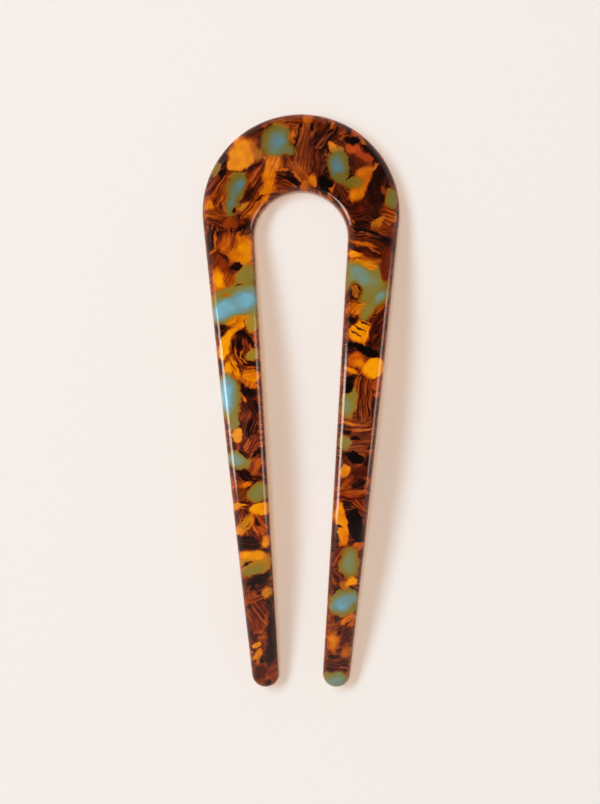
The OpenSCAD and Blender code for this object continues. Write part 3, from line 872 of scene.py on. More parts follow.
# Chips and clouds of the right leg, from the bow to the tip
RIGHT_LEG = (
    Chip(13.6, 31.8, 5.6, 3.6, -14, 0.24, 0.40, -15),
    Chip(12.9, 34.0, 3.6, 0.35, -14, 0.02, 0.05, -14),
    Chip(16.2, 32.5, 2.6, 0.9, -14, 0.04, 0.12, -14),
    Chip(12.6, 33.2, 3.4, 0.22, -12, 0.46, 0.10, -12),
    Chip(12.4, 31.3, 3.6, 0.42, -14, 0.62, 0.16, -14),
    Chip(12.6, 30.5, 3.4, 0.24, -16, 0.16, 0.05, -14),
    Chip(14.6, 30.1, 2.4, 0.25, -36, 0.55, 0.10, -36),
    Chip(10.8, 29.2, 2.2, 0.8, -6, 0.90, 0.16, -8),
    Chip(14.0, 28.2, 2.6, 0.9, -18, 0.48, 0.45, -16),
    Chip(12.9, 23.6, 4.9, 4.5, 20, 0.68, 0.05, 0, 0.3, 0.56),
    Chip(12.6, 27.2, 3.4, 1.0, -14, 0.78, 0.24, -14, 0.3, 0.14),
    Chip(17.1, 27.4, 4.0, 1.2, 80, 0.30, 0.08, 70, 0.15, -0.3),
    Cloud(11.6, 25.2, 4.8, 2.0, -36, 0.90, 0.9, 0.68),
    Cloud(16.0, 20.6, 3.0, 1.4, 42, 0.90, 0.9),
    Chip(10.7, 21.7, 2.2, 1.6, 80, 0.10, 0.35, 60),
    Chip(10.8, 21.7, 1.5, 0.9, 110, 0.54, 0.50, 112, 0.2, 0.16),
    Chip(10.6, 18.3, 1.6, 1.7, 60, 0.70, 0.38, 50),
    Chip(11.9, 18.7, 1.6, 0.7, 20, 0.74, 0.30, 24, 0.2, 0.1),
    Cloud(13.2, 17.9, 2.9, 1.3, 58, 0.54, 0.6),
    Chip(11.8, 13.7, 2.5, 2.4, 60, 0.92, 0.10, -38, 0.15),
    Chip(12.6, 15.4, 1.4, 0.2, -32, 0.14, 0.05, -36),
    Chip(11.4, 14.6, 1.9, 0.2, -36, 0.16, 0.05, -36),
    Chip(11.2, 13.2, 1.6, 0.2, -38, 0.24, 0.05, -36),
    Chip(9.9, 16.2, 1.0, 0.6, -10, 0.05, 0.05, 0),
    Chip(15.5, 15.0, 4.3, 1.5, 66, 0.24, 0.42, 58, 0.2, -0.3),
    Chip(15.9, 18.3, 1.9, 0.3, 46, 0.56, 0.05, 46),
    Chip(15.2, 11.9, 1.6, 1.5, 50, 0.20, 0.36, 50),
    Chip(10.6, 8.2, 1.9, 1.7, 60, 0.66, 0.12, 60, 0.3, -0.4),
    Chip(14.4, 6.4, 2.7, 2.1, 36, 1.00, 0.03, 30, 0.15),
    Chip(11.6, 7.3, 1.5, 1.1, 10, 0.86, 0.06, 30, 0.5, -0.2),
    Chip(9.9, 6.0, 1.5, 0.6, -20, 0.84, 0.10, -20),
    Chip(12.9, 10.0, 3.1, 1.0, -22, 0.01, 0.03, -24, 0.15),
    Chip(9.9, 10.9, 0.9, 0.8, 0, 0.02, 0.03, 0),
    Chip(12.4, 11.8, 0.3, 1.0, 20, 0.80, 0.03, 0),
    Chip(15.2, 3.2, 1.6, 1.2, 80, 0.54, 0.14, 80, 0.3, -0.4),
    Chip(12.5, 0.6, 4.9, 2.1, 87, 0.30, 0.46, 86, 0.2, -0.1),
    Chip(10.9, 3.6, 1.7, 0.4, 84, 0.48, 0.35, 84),
    Chip(9.8, -0.2, 3.7, 1.5, 84, 0.70, 0.08, 80, 0.2, 0.44),
    Cloud(9.0, -1.2, 2.6, 1.3, 88, 0.72, 0.9),
    Chip(9.5, 3.1, 2.0, 1.0, 84, 0.01, 0.03, 0, 0.15),
    Chip(14.6, -2.0, 2.8, 0.8, 84, 0.12, 0.20, 84),
    Chip(15.0, 0.9, 0.9, 0.7, 60, 0.62, 0.08, 60),
    Chip(11.6, -5.3, 3.4, 1.4, 0, 0.42, 0.50, 1),
    Chip(9.8, -4.5, 2.0, 0.4, -3, 0.78, 0.06, 0),
    Chip(11.8, -8.2, 2.9, 1.9, 10, 0.32, 0.34, 12, 0.2, -0.1),
    Chip(11.0, -7.5, 1.1, 0.5, 6, 0.03, 0.06, 0),
    Chip(13.4, -8.0, 2.0, 0.25, 22, 0.52, 0.05, 22),
    Cloud(8.8, -8.5, 1.5, 1.5, 60, 0.48, 0.35, 0.66),
    Chip(11.0, -10.0, 2.6, 0.3, 0, 0.42, 0.10, 0),
    Chip(13.3, -12.0, 1.7, 1.0, 82, 0.10, 0.10, 80),
    Chip(10.9, -11.4, 1.9, 1.1, -18, 0.00, 0.02, 0, 0.15),
    Chip(9.3, -12.2, 1.6, 0.7, -58, 0.26, 0.12, -50, 0.2, -0.3),
    Chip(12.0, -14.4, 2.4, 1.4, 16, 0.26, 0.12, 30, 0.3, -0.5),
    Chip(8.7, -14.0, 1.35, 1.1, 90, 0.82, 0.04, 0, 0.15),
    Chip(9.3, -15.8, 1.8, 0.6, 35, 0.46, 0.30, 35, 0.2, -0.4),
    Chip(13.4, -16.2, 0.8, 1.1, 20, 0.54, 0.20, 60),
    Chip(11.4, -16.6, 1.8, 1.0, 20, 0.03, 0.15, 30),
    Chip(9.8, -18.8, 4.4, 1.3, 8, 0.38, 0.46, 8, 0.2, -0.3),
    Chip(8.6, -17.0, 1.2, 0.3, 30, 0.56, 0.10, 30),
    Chip(10.4, -18.3, 2.6, 0.2, 6, 0.55, 0.05, 6),
    Chip(11.7, -21.4, 2.1, 1.7, -46, 0.34, 0.40, -48, 0.2, -0.2),
    Chip(8.1, -24.6, 4.9, 1.3, 93, 0.92, 0.04, 90, 0.2, -0.12),
    Chip(8.6, -27.4, 2.0, 0.7, 88, 0.84, 0.05, 90, 0.5, -0.4),
    Chip(6.7, -26.4, 2.8, 0.7, 86, 0.12, 0.15, 86),
    Chip(7.6, -24.9, 0.9, 0.3, -20, 0.14, 0.05, -20),
    Chip(10.9, -25.0, 3.7, 1.6, 98, 0.01, 0.02, 0, 0.12),
    Chip(11.4, -29.0, 1.3, 1.0, 20, 0.72, 0.08, 60, 0.2, -0.3),
    Chip(7.4, -30.6, 2.2, 1.0, 62, 0.36, 0.50, 62, 0.2, -0.2),
    Chip(9.6, -32.4, 3.7, 2.3, 92, 0.50, 0.10, 80, 0.12, 0.2),
    Cloud(9.6, -32.4, 3.2, 1.9, 88, 0.62, 0.5),
    Cloud(9.5, -32.4, 2.7, 1.1, 84, 0.75, 0.9),
    Chip(11.7, -34.6, 1.8, 0.5, 92, 0.20, 0.15, 90, 0.2, 0.2),
    Chip(7.0, -34.8, 2.4, 0.9, -62, 0.34, 0.42, -62, 0.2, -0.2),
    Chip(8.6, -36.9, 1.4, 0.9, -40, 0.58, 0.25, -40, 0.3, 0.2),
    Chip(10.1, -36.2, 1.5, 1.1, 20, 0.96, 0.06, 0, 0.3),
    Chip(10.4, -37.9, 1.6, 0.25, -4, 0.10, 0.05, 0),
    Chip(8.8, -40.4, 3.4, 2.9, 20, 0.66, 0.08, 20, 0.12, 0.5),
    Cloud(8.4, -40.2, 3.1, 1.9, 24, 1.06, 0.7),
    Cloud(9.9, -39.6, 2.2, 1.2, 10, 0.96, 0.9),
    Chip(6.3, -44.2, 2.0, 1.5, 60, 0.44, 0.42, 20),
    Chip(6.8, -43.6, 0.8, 0.2, 88, 0.08, 0.05, 88),
    Chip(7.4, -43.5, 0.7, 0.2, 88, 0.12, 0.05, 88),
    Chip(9.5, -43.9, 2.2, 1.3, 28, 0.72, 0.30, 28, 0.25, -0.1),
    Chip(8.6, -44.9, 2.6, 0.22, 26, 0.20, 0.05, 28),
    Chip(7.6, -45.8, 2.6, 0.22, 20, 0.26, 0.05, 28),
    Chip(9.9, -44.9, 1.1, 0.6, 30, 0.72, 0.08, 30, 0.4, -0.4),
    Chip(6.4, -48.2, 2.6, 1.5, 92, 0.72, 0.06, 90, 0.5),
    Chip(6.3, -47.8, 1.4, 0.9, 90, 0.86, 0.04, 90, 0.8),
    Chip(8.9, -47.1, 1.6, 1.3, 70, 0.24, 0.10, 60, 0.4, -0.4),
    Chip(9.0, -50.4, 1.6, 1.2, 78, 0.64, 0.08, 60, 0.4),
    Chip(7.0, -52.9, 2.8, 1.5, 0, 0.26, 0.36, 6, 0.2, -0.2),
    Chip(6.2, -51.3, 1.6, 0.25, -2, 0.08, 0.06, 0),
    Chip(6.0, -53.8, 1.2, 0.7, -10, 0.12, 0.20, 0),
    Chip(8.6, -53.6, 1.2, 0.3, 0, 0.48, 0.20, 10),
    Cloud(7.0, -56.1, 3.2, 1.9, 0, 0.56, 0.35),
    Cloud(7.1, -56.4, 2.4, 1.6, 0, 0.94, 0.8),
)


class Ripple(NamedTuple):
    """A smooth noise: its waves in a unit of length, its finer layers, and how strongly it moves an edge."""

    scale: float
    detail: float
    reach: float = 0.0

    def wander(self, tree: bpy.types.NodeTree, plan: Value) -> Value:
        """The noise in all three directions.

        Args:
            tree: the node tree.
            plan: the place in the sheet.

        Returns:
            A vector with each number from -0.5 to 0.5.
        """
        noise = place(
            tree, "ShaderNodeTexNoise", "Color", Vector=plan, Scale=self.scale, Detail=self.detail
        )
        return noise.vectors("SUBTRACT", (0.5, 0.5, 0.5))

    def level(self, tree: bpy.types.NodeTree, at: Value) -> Value:
        """The noise at a place as one number, from 0 to 1."""
        return place(tree, "ShaderNodeTexNoise", Vector=at, Scale=self.scale, Detail=self.detail)


@dataclass(frozen=True)
class ChanceChips:
    """The chips between and below the charted ones, each a cell of a Voronoi texture.

    A pair of numbers gives a chip's least streak or tone, and how much more it may have.
    """

    scale: float = 0.34
    streak: tuple[float, float] = (0.2, 0.3)
    tone: tuple[float, float] = (0.08, 0.4)

    def laid(self, tree: bpy.types.NodeTree, plan: Value) -> Value:
        """Lays them.

        Args:
            tree: the node tree.
            plan: the place in the sheet.

        Returns:
            What lies there, as the pattern notes it.
        """
        chance = place(
            tree, "ShaderNodeTexVoronoi", "Color", Vector=plan, Scale=self.scale, Randomness=1.0
        ).axes()
        least_streak, more_streak = self.streak
        least_tone, more_tone = self.tone
        grain = (chance[0] * 180.0).maths("FLOOR") + least_streak + chance[2] * more_streak
        return joined(tree, grain, least_tone + chance[1] * more_tone, 0.0)


@dataclass(frozen=True)
class Threads:
    """The long threads that run along each chip's grain.

    bend is how many millimetres the sheet's drift moves them, and squeeze draws them out along the grain.
    dark and light are where the noise turns from the darkest to the lightest thread, and pale where a thread
    turns to the palest colour of all.
    """

    bend: float = 2.2
    squeeze: tuple[float, float, float] = (0.05, 1.0, 0.3)
    scale: float = 2.3
    detail: float = 2.0
    roughness: float = 0.6
    distortion: float = 0.15
    dark: float = 0.32
    light: float = 0.68
    pale: tuple[float, float] = (0.57, 0.70)

    def masks(
        self, tree: bpy.types.NodeTree, plan: Value, drift: Value, grain: Value
    ) -> tuple[Value, Value]:
        """Draws them.

        Args:
            tree: the node tree.
            plan: the place in the sheet.
            drift: a slow wander that bends them.
            grain: their direction in degrees.

        Returns:
            The threads, dark at 0 and light at 1, and the palest ones alone.
        """
        along = place(
            tree,
            "ShaderNodeVectorRotate",
            rotation_type="Z_AXIS",
            Vector=plan.vectors("ADD", drift.vectors("SCALE", self.bend)),
            Angle=(-grain).maths("RADIANS"),
        )
        layers = place(
            tree,
            "ShaderNodeTexNoise",
            Vector=along.vectors("MULTIPLY", self.squeeze),
            Scale=self.scale,
            Detail=self.detail,
            Roughness=self.roughness,
            Distortion=self.distortion,
        )
        return layers.between(self.dark, self.light), layers.between(*self.pale)


@dataclass(frozen=True)
class AcetateTints:
    """The colours of the acetate, and how its threads and its mottle change them.

    browns gives a chip's colour by its tone, and pales a cloud's colour by its cast. red is what a red cast
    leaves of a brown, and thread is the colour of the palest threads. The single numbers say how far the
    threads and the mottle shift a tone or a cast, and how a cloud's tone sets how bright it is. cloud_edge
    is where the cast turns a brown into a pale.
    """

    browns: tuple[Tint, ...] = (
        Tint(0.00, paint(12, 6, 4)),
        Tint(0.12, paint(42, 12, 5)),
        Tint(0.25, paint(78, 25, 6)),
        Tint(0.40, paint(122, 46, 9)),
        Tint(0.55, paint(162, 72, 10)),
        Tint(0.70, paint(200, 100, 8)),
        Tint(0.85, paint(228, 130, 2)),
        Tint(1.00, paint(248, 156, 5)),
    )
    pales: tuple[Tint, ...] = (
        Tint(0.30, paint(152, 114, 28)),
        Tint(0.55, paint(136, 118, 48)),
        Tint(0.68, paint(130, 126, 74)),
        Tint(0.82, paint(122, 136, 104)),
        Tint(1.00, paint(112, 146, 152)),
        Tint(1.15, paint(116, 174, 190)),
    )
    span: float = 1.2
    red: tuple[float, float, float] = (1.10, 0.56, 0.90)
    thread: Colour = paint(180, 98, 52)
    thread_middle: float = 0.45
    thread_depth: float = 0.85
    thread_redness: float = 0.35
    pale_thread_share: float = 0.75
    pale_thread_end: float = 1.3
    mottle_least: float = 0.2
    mottle_by_tone: float = 0.22
    mottle_of_cast: float = 0.25
    cloud_least: float = 0.16
    cloud_by_tone: float = 1.2
    cloud_edge: tuple[float, float] = (0.06, 0.42)

    def brown(
        self,
        tree: bpy.types.NodeTree,
        chip: tuple[Value, Value, Value],
        threads: tuple[Value, Value],
        mottle: Value,
    ) -> Value:
        """A chip's colour.

        Args:
            tree: the node tree.
            chip: its streak, its tone and its cast.
            threads: all its threads, and the palest ones alone.
            mottle: the mottle, from -0.5 to 0.5.

        Returns:
            The colour.
        """
        streak, tone, cast = chip
        every_thread, palest = threads
        grained = tone + streak * (every_thread - self.thread_middle) * self.thread_depth
        depth = grained + mottle * (tone * self.mottle_by_tone + self.mottle_least)
        redness = (streak * self.thread_redness - cast).held()
        left = mix(tree, Mixing.VECTORS, redness, (1.0, 1.0, 1.0), self.red)
        brown = ramp(tree, self.browns, depth, self.span).vectors("MULTIPLY", left)
        light = palest * streak * (self.pale_thread_end - tone).held()
        return mix(tree, Mixing.COLOURS, light * self.pale_thread_share, brown, self.thread)

    def pale(self, tree: bpy.types.NodeTree, tone: Value, cast: Value, mottle: Value) -> Value:
        """A cloud's colour by its tone and its cast, with the mottle from -0.5 to 0.5 on the cast."""
        pale = ramp(tree, self.pales, cast + mottle * self.mottle_of_cast, self.span)
        return pale.vectors("SCALE", tone * self.cloud_by_tone + self.cloud_least)


@dataclass(frozen=True)
class ChipPattern:
    """The sheet's mottled pattern: charted chips and clouds over chance chips, each with its own grain.

    What lies at a place is one vector: the grain in whole degrees plus the streak, the tone, and the cast.

    The chips are laid in batches. Each batch slides a little over what lies below it, so that its edges
    wander where those below change. The renderer then also works through one batch at a time, which its
    small stack of values needs.

    face is the height in the sheet at which the chart holds, and depth how far a chip reaches above and
    below it, in millimetres. melt widens every chip's soft edge, up to softest.
    """

    batch: int = 24
    slide: float = 0.03
    face: float = 2.0
    depth: float = 10.0
    melt: float = 1.5
    softest: float = 0.9
    drift: Ripple = Ripple(0.25, 1.0, 0.9)
    curl: Ripple = Ripple(0.55, 2.0, 1.4)
    facet_scale: float = 1.2
    facet_reach: float = 0.18
    mottle: Ripple = Ripple(0.5, 2.0)
    chance: ChanceChips = ChanceChips()
    threads: Threads = Threads()
    tints: AcetateTints = AcetateTints()

    def group(self) -> bpy.types.NodeTree:
        """Builds the pattern's node group.

        Returns:
            The group, from a place in the sheet to a colour.
        """
        tree = bpy.data.node_groups.new("Acetate chips", "ShaderNodeTree")
        tree.interface.new_socket("Plan", in_out="INPUT", socket_type="NodeSocketVector")
        tree.interface.new_socket("Color", in_out="OUTPUT", socket_type="NodeSocketColor")
        start = tree.nodes.new("NodeGroupInput")
        plan = Value(tree, start.outputs["Plan"])
        drift = self.drift.wander(tree, plan)
        curl = self.curl.wander(tree, plan)
        facet = place(
            tree, "ShaderNodeTexVoronoi", "Position", Vector=plan, Scale=self.facet_scale, Randomness=1.0
        ).vectors("SUBTRACT", plan)
        ragged = plan
        for shift, reach in (
            (drift, self.drift.reach),
            (curl, self.curl.reach),
            (facet, self.facet_reach),
        ):
            ragged = ragged.vectors("ADD", shift.vectors("SCALE", reach))
        laid = self.chance.laid(tree, ragged)
        pieces = (*BOW, *LEFT_LEG, *RIGHT_LEG)
        for first in range(0, len(pieces), self.batch):
            batch = tree.nodes.new("ShaderNodeGroup")
            batch.node_tree = self.batch_group(pieces[first : first + self.batch])
            plug(tree, batch.inputs["Ragged"], ragged)
            plug(tree, batch.inputs["Laid"], laid)
            laid = Value(tree, batch.outputs["Laid"])
        end = tree.nodes.new("NodeGroupOutput")
        plug(tree, end.inputs["Color"], self.stain(tree, plan, drift, laid))
        return tree

    def batch_group(self, pieces: tuple[Chip | Cloud, ...]) -> bpy.types.NodeTree:
        """Builds the node group that lays one batch.

        Args:
            pieces: the batch's chips and clouds.

        Returns:
            The group, from a ragged place and what lies there to what lies there next.
        """
        tree = bpy.data.node_groups.new("Batch of chips", "ShaderNodeTree")
        tree.interface.new_socket("Ragged", in_out="INPUT", socket_type="NodeSocketVector")
        tree.interface.new_socket("Laid", in_out="INPUT", socket_type="NodeSocketVector")
        tree.interface.new_socket("Laid", in_out="OUTPUT", socket_type="NodeSocketVector")
        start = tree.nodes.new("NodeGroupInput")
        laid = Value(tree, start.outputs["Laid"])
        ragged = Value(tree, start.outputs["Ragged"])
        at = laid.vectors("MULTIPLY_ADD", (0.0, self.slide, self.slide), ragged)
        for piece in pieces:
            laid = self.lay(tree, at, laid, piece)
        end = tree.nodes.new("NodeGroupOutput")
        plug(tree, end.inputs["Laid"], laid)
        return tree

    def lay(self, tree: bpy.types.NodeTree, at: Value, laid: Value, piece: Chip | Cloud) -> Value:
        """Lays one chip or cloud over those before it.

        Args:
            tree: the node tree.
            at: the place in the sheet, with ragged edges.
            laid: what lies there so far.
            piece: the chip's or cloud's row of the chart.

        Returns:
            What lies there now. A chip's tone and cast melt at its edge, and its grain turns at once. A
            cloud leaves the grain as it is.
        """
        cloud = isinstance(piece, Cloud)
        soft = piece.soft if cloud else min(piece.soft * self.melt, self.softest)
        reach = place(
            tree,
            "ShaderNodeMapping",
            vector_type="TEXTURE",
            Vector=at,
            Location=(piece.x, piece.y, self.face),
            Rotation=(0.0, 0.0, math.radians(piece.turn)),
            Scale=(piece.long, piece.wide, self.depth),
        ).vectors("LENGTH")
        cover = reach.between(1.0 + soft / 3, 1.0 - soft)
        grain_cover = 0.0 if cloud else cover.maths("GREATER_THAN", 0.5)
        grain = 0.0 if cloud else piece.grain + piece.streak
        share = joined(tree, grain_cover, cover, cover)
        return mix(tree, Mixing.EACH_AXIS, share, laid, (grain, piece.tone, piece.cast))

    def stain(self, tree: bpy.types.NodeTree, plan: Value, drift: Value, laid: Value) -> Value:
        """The colour at each place.

        Args:
            tree: the node tree.
            plan: the place in the sheet.
            drift: a slow wander that bends the grain.
            laid: what lies there.

        Returns:
            The colour.
        """
        grain, tone, cast = laid.axes()
        streak = grain.maths("FRACT")
        threads = self.threads.masks(tree, plan, drift, grain - streak)
        mottle = self.mottle.level(tree, plan) - 0.5
        brown = self.tints.brown(tree, (streak, tone, cast), threads, mottle)
        pale = self.tints.pale(tree, tone, cast, mottle)
        return mix(tree, Mixing.COLOURS, cast.between(*self.tints.cloud_edge), brown, pale)


@dataclass(frozen=True)
class PolishedAcetate:
    """The pin's finish: mottled acetate with a deep polish, which lets some amber light through.

    through is the light that passes it. edge is a painted glow: a red-brown added to the base colour of
    the cut sides in place of the light that passes through them, from where the surface starts to turn down
    to where it is nearly upright. gloss is its least and its most roughness.
    The polish rolls in slow waves, and a fine rub along the pin dulls and raises it a little.
    """

    pattern: ChipPattern = ChipPattern()
    through: Colour = (0.66, 0.44, 0.12, 1.0)
    edge: Colour = (0.13, 0.035, 0.008, 1.0)
    painted_glow_from: float = 0.9
    painted_glow_to: float = 0.3
    brightest: tuple[float, float, float] = (0.95, 0.95, 0.95)
    ior: float = 1.48
    gloss: tuple[float, float] = (0.10, 0.16)
    waves: Ripple = Ripple(0.35, 2.0)
    rub: Ripple = Ripple(1.6, 3.0)
    rub_squeeze: tuple[float, float, float] = (3.0, 0.6, 3.0)
    rub_range: tuple[float, float] = (0.3, 0.75)
    rub_height: float = 0.06
    bump_strength: float = 0.25
    bump_height: float = 0.05 * MM

    def material(self, plan_name: str) -> bpy.types.Material:
        """Builds the material.

        Args:
            plan_name: the attribute that holds where each point of the sheet is seen from above.

        Returns:
            The material.
        """
        finish = bpy.data.materials.new("polished mottled acetate")
        finish.use_nodes = True
        tree = finish.node_tree
        tree.nodes.clear()
        plan = place(tree, "ShaderNodeAttribute", "Vector", attribute_name=plan_name)
        chips = tree.nodes.new("ShaderNodeGroup")
        chips.node_tree = self.pattern.group()
        plug(tree, chips.inputs["Plan"], plan)
        _, _, up = place(tree, "ShaderNodeTexCoord", "Normal").axes()
        # Painted glow: edge is added to the base colour of the cut sides, more where the surface stands
        # upright, in place of light passing through the sheet
        sides = up.maths("ABSOLUTE").between(self.painted_glow_from, self.painted_glow_to)
        glow = mix(tree, Mixing.COLOURS, sides, (0.0, 0.0, 0.0, 1.0), self.edge)
        colour = Value(tree, chips.outputs["Color"]).vectors("ADD", glow)
        rub = self.rub.level(tree, plan.vectors("MULTIPLY", self.rub_squeeze))
        bump = place(
            tree,
            "ShaderNodeBump",
            Strength=self.bump_strength,
            Distance=self.bump_height,
            Height=self.waves.level(tree, plan) + rub * self.rub_height,
        )
        shader = place(
            tree,
            "ShaderNodeBsdfPrincipled",
            Base_Color=colour.vectors("MINIMUM", self.brightest),
            Roughness=rub.between(*self.rub_range, *self.gloss),
            IOR=self.ior,
            Normal=bump,
        )
        clear = place(tree, "ShaderNodeBsdfTransparent", Color=self.through)
        both = tree.nodes.new("ShaderNodeMixShader")
        plug(tree, both.inputs[0], place(tree, "ShaderNodeLightPath", "Is Shadow Ray"))
        plug(tree, both.inputs[1], shader)
        plug(tree, both.inputs[2], clear)
        out = tree.nodes.new("ShaderNodeOutputMaterial")
        plug(tree, out.inputs["Surface"], Value(tree, both.outputs[0]))
        return finish


@dataclass(frozen=True)
class PaleBoard:
    """The floor's finish: pale matt board, its fibre between two near shades and two roughnesses."""

    fibre: Ripple = Ripple(900.0, 3.0)
    fibre_range: tuple[float, float] = (0.2, 0.8)
    darker: Colour = (0.905, 0.863, 0.815, 1.0)
    lighter: Colour = (0.925, 0.882, 0.834, 1.0)
    roughness: tuple[float, float] = (0.6, 0.75)
    specular: float = 0.1

    def material(self) -> bpy.types.Material:
        """Builds the material.

        Returns:
            The material.
        """
        finish = bpy.data.materials.new("pale matt board")
        finish.use_nodes = True
        tree = finish.node_tree
        tree.nodes.clear()
        fibre = self.fibre.level(tree, place(tree, "ShaderNodeTexCoord", "Object"))
        shader = place(
            tree,
            "ShaderNodeBsdfPrincipled",
            Base_Color=mix(tree, Mixing.COLOURS, fibre, self.darker, self.lighter),
            Roughness=fibre.between(*self.fibre_range, *self.roughness),
            Specular_IOR_Level=self.specular,
        )
        out = tree.nodes.new("ShaderNodeOutputMaterial")
        plug(tree, out.inputs["Surface"], shader)
        return finish


class Side(Enum):
    """Where a lamp stands, seen from the camera."""

    LEFT = -1
    RIGHT = 1


class Reach(Enum):
    """What a lamp does: it lights the scene, or it is only mirrored in the polish."""

    LIGHT = "light"
    MIRRORED = "mirrored"


@dataclass(frozen=True)
class Lamp:
    """A soft oblong lamp that faces the pin.

    power is in watts. lean is in degrees above the floor, and turn in degrees from straight beside the pin
    towards the bow's end. size is its width and its height, and away its distance, in metres.
    """

    side: Side
    reach: Reach
    power: float
    lean: float
    turn: float
    size: tuple[float, float]
    tint: tuple[float, float, float]
    away: float = 3.0

    def hang(self) -> bpy.types.Object:
        """Hangs the lamp.

        Returns:
            Its object.
        """
        light = bpy.data.lights.new(f"lamp_{self.side.name.lower()}_{self.reach.value}", "AREA")
        light.shape = "RECTANGLE"
        light.size, light.size_y = self.size
        light.energy = self.power
        light.color = self.tint
        lamp = bpy.data.objects.new(light.name, light)
        lamp.visible_camera = False
        lamp.visible_glossy = self.reach is Reach.MIRRORED
        lamp.visible_diffuse = self.reach is Reach.LIGHT
        rise, swing = math.radians(self.lean), math.radians(self.turn)
        beside = math.cos(rise) * math.cos(swing) * self.side.value
        where = Vector((beside, math.cos(rise) * math.sin(swing), math.sin(rise))) * self.away
        lamp.location = where
        lamp.rotation_euler = where.to_track_quat("Z", "Y").to_euler()
        bpy.context.scene.collection.objects.link(lamp)
        return lamp


@dataclass(frozen=True)
class Room:
    """The light that comes from all round: bright walls, and a dark patch overhead that the polish mirrors.

    strength is its light on the floor and the pin, and mirrored_strength its light where the polish mirrors
    it. walls gives its colour by height, from level with the floor at 0 to straight up at 1. The patch is an
    ellipse that fades from its full dark at the first edge to nothing at the second. The camera sees a plain
    backdrop instead, of the colour that the floor has at its far end.
    """

    strength: float = 0.43
    mirrored_strength: float = 1.2
    walls: tuple[Tint, ...] = (
        Tint(0.00, (0.80, 0.60, 0.48, 1.0)),
        Tint(0.50, (0.54, 0.49, 0.45, 1.0)),
        Tint(0.82, (0.42, 0.38, 0.35, 1.0)),
        Tint(1.00, (0.13, 0.12, 0.11, 1.0)),
    )
    patch_at: tuple[float, float, float] = (0.0, 0.19, 1.0)
    patch_size: tuple[float, float, float] = (0.22, 0.42, 1.0)
    patch_edge: tuple[float, float] = (0.8, 1.2)
    patch_level: float = 0.05
    backdrop: Colour = (0.445, 0.402, 0.361, 1.0)

    def surround(self) -> bpy.types.World:
        """Puts the room round the scene.

        Returns:
            Its world.
        """
        world = bpy.data.worlds.new("room")
        world.use_nodes = True
        tree = world.node_tree
        tree.nodes.clear()
        around = place(tree, "ShaderNodeTexCoord", "Generated")
        _, _, up = around.axes()
        patch = place(
            tree,
            "ShaderNodeMapping",
            vector_type="TEXTURE",
            Vector=around,
            Location=self.patch_at,
            Scale=self.patch_size,
        ).vectors("LENGTH")
        mirrored = place(tree, "ShaderNodeLightPath", "Is Glossy Ray")
        level = mirrored * (self.mirrored_strength - self.strength) + self.strength
        sky = place(
            tree,
            "ShaderNodeBackground",
            Color=ramp(tree, self.walls, up),
            Strength=patch.between(*self.patch_edge, self.patch_level, 1.0) * level,
        )
        view = tree.nodes.new("ShaderNodeMixShader")
        plug(tree, view.inputs[0], place(tree, "ShaderNodeLightPath", "Is Camera Ray"))
        plug(tree, view.inputs[1], sky)
        plug(tree, view.inputs[2], place(tree, "ShaderNodeBackground", Color=self.backdrop))
        out = tree.nodes.new("ShaderNodeOutputWorld")
        plug(tree, out.inputs["Surface"], Value(tree, view.outputs[0]))
        bpy.context.scene.world = world
        return world


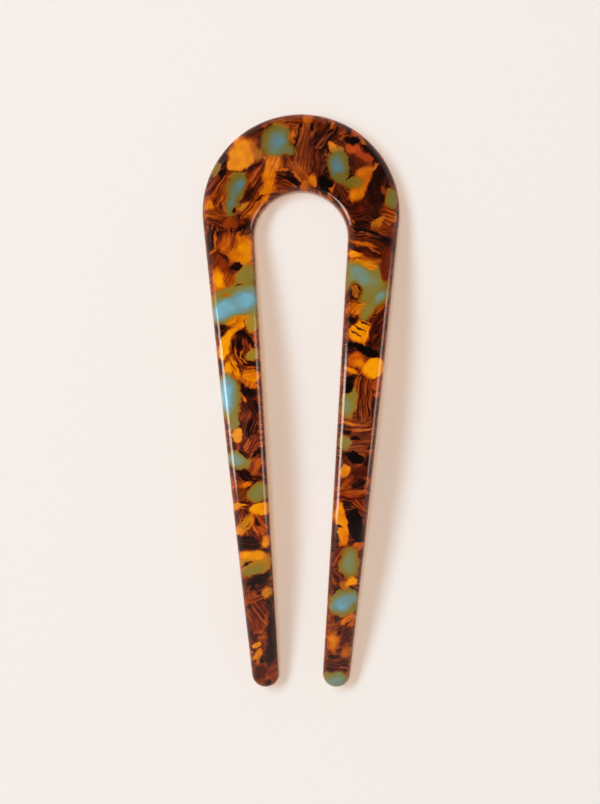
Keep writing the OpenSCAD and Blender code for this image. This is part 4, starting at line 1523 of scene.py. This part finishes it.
@dataclass(frozen=True)
class Studio:
    """A pale floor, soft lamps, a bright room, and a camera straight above the pin.

    The first lamp casts the long shadow and the second lights the pin from overhead. The mirrored ones draw
    the thin bright lines along its edges. picture_height is how much the picture shows from top to bottom,
    at pin_height above the floor, and aim is the point under the camera. The sensor is in millimetres.
    """

    floor_size: float = 6.0
    board: PaleBoard = PaleBoard()
    lamps: tuple[Lamp, ...] = (
        Lamp(Side.LEFT, Reach.LIGHT, 53.0, 56.0, 19.0, (2.2, 0.8), (0.98, 0.99, 1.0)),
        Lamp(Side.LEFT, Reach.LIGHT, 33.0, 88.0, 0.0, (0.5, 0.5), (0.98, 0.99, 1.0)),
        Lamp(Side.LEFT, Reach.MIRRORED, 92.0, 56.0, 4.0, (1.3, 2.1), (1.0, 0.95, 0.92)),
        Lamp(Side.RIGHT, Reach.MIRRORED, 48.0, 45.0, 6.0, (1.5, 1.8), (1.0, 0.68, 0.55)),
    )
    room: Room = Room()
    camera_height: float = 0.75
    picture_height: float = 160.8 * MM
    pin_height: float = 6.0 * MM
    aim: tuple[float, float] = (-0.2 * MM, -0.3 * MM)
    sensor: float = 36.0
    nearest: float = 0.05

    def floor(self) -> bpy.types.Object:
        """Lays the floor.

        Returns:
            Its object.
        """
        half = self.floor_size / 2
        outline = [(-half, -half, 0.0), (half, -half, 0.0), (half, half, 0.0), (-half, half, 0.0)]
        mesh = bpy.data.meshes.new("floor")
        mesh.from_pydata(outline, [], [(0, 1, 2, 3)])
        mesh.materials.append(self.board.material())
        floor = bpy.data.objects.new("floor", mesh)
        bpy.context.scene.collection.objects.link(floor)
        return floor

    def camera(self) -> bpy.types.Object:
        """Sets the camera, so that the picture is as high as given at the pin's own height.

        Returns:
            Its object.
        """
        data = bpy.data.cameras.new("camera")
        data.sensor_width = self.sensor
        data.lens = self.sensor * (self.camera_height - self.pin_height) / self.picture_height
        data.clip_start = self.nearest
        camera = bpy.data.objects.new("camera", data)
        camera.location = (*self.aim, self.camera_height)
        bpy.context.scene.collection.objects.link(camera)
        bpy.context.scene.camera = camera
        return camera

    def build(self) -> list[bpy.types.Object]:
        """Sets up the floor, the lamps, the room and the camera.

        Returns:
            The objects among them.
        """
        floor = self.floor()
        lamps = [lamp.hang() for lamp in self.lamps]
        self.room.surround()
        bpy.context.scene.view_settings.view_transform = "Standard"
        return [floor, *lamps, self.camera()]


@dataclass(frozen=True)
class HairPin:
    """The pin itself, one piece on the part's one body."""

    form: PinForm = PinForm()
    finish: PolishedAcetate = PolishedAcetate()

    def build(self) -> bpy.types.Object:
        """Makes the pin and sets it in the place of its CAD solid.

        Returns:
            Its object.
        """
        mesh = self.form.mesh(self.finish.material(self.form.plan_name))
        pin = bpy.data.objects.new("acetate_pin", mesh)
        bpy.context.scene.collection.objects.link(pin)
        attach(pin, "root")
        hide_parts("hair_pin")
        return pin


def main() -> None:
    """Loads the frame and builds the pin and the studio round it."""
    logging.basicConfig(level=logging.INFO, format="%(name)s: %(message)s")
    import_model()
    pin = HairPin().build()
    LOG.info("%s: %d faces", pin.name, len(pin.data.polygons))
    for piece in Studio().build():
        LOG.info("studio: %s", piece.name)


if __name__ == "__main__":
    main()
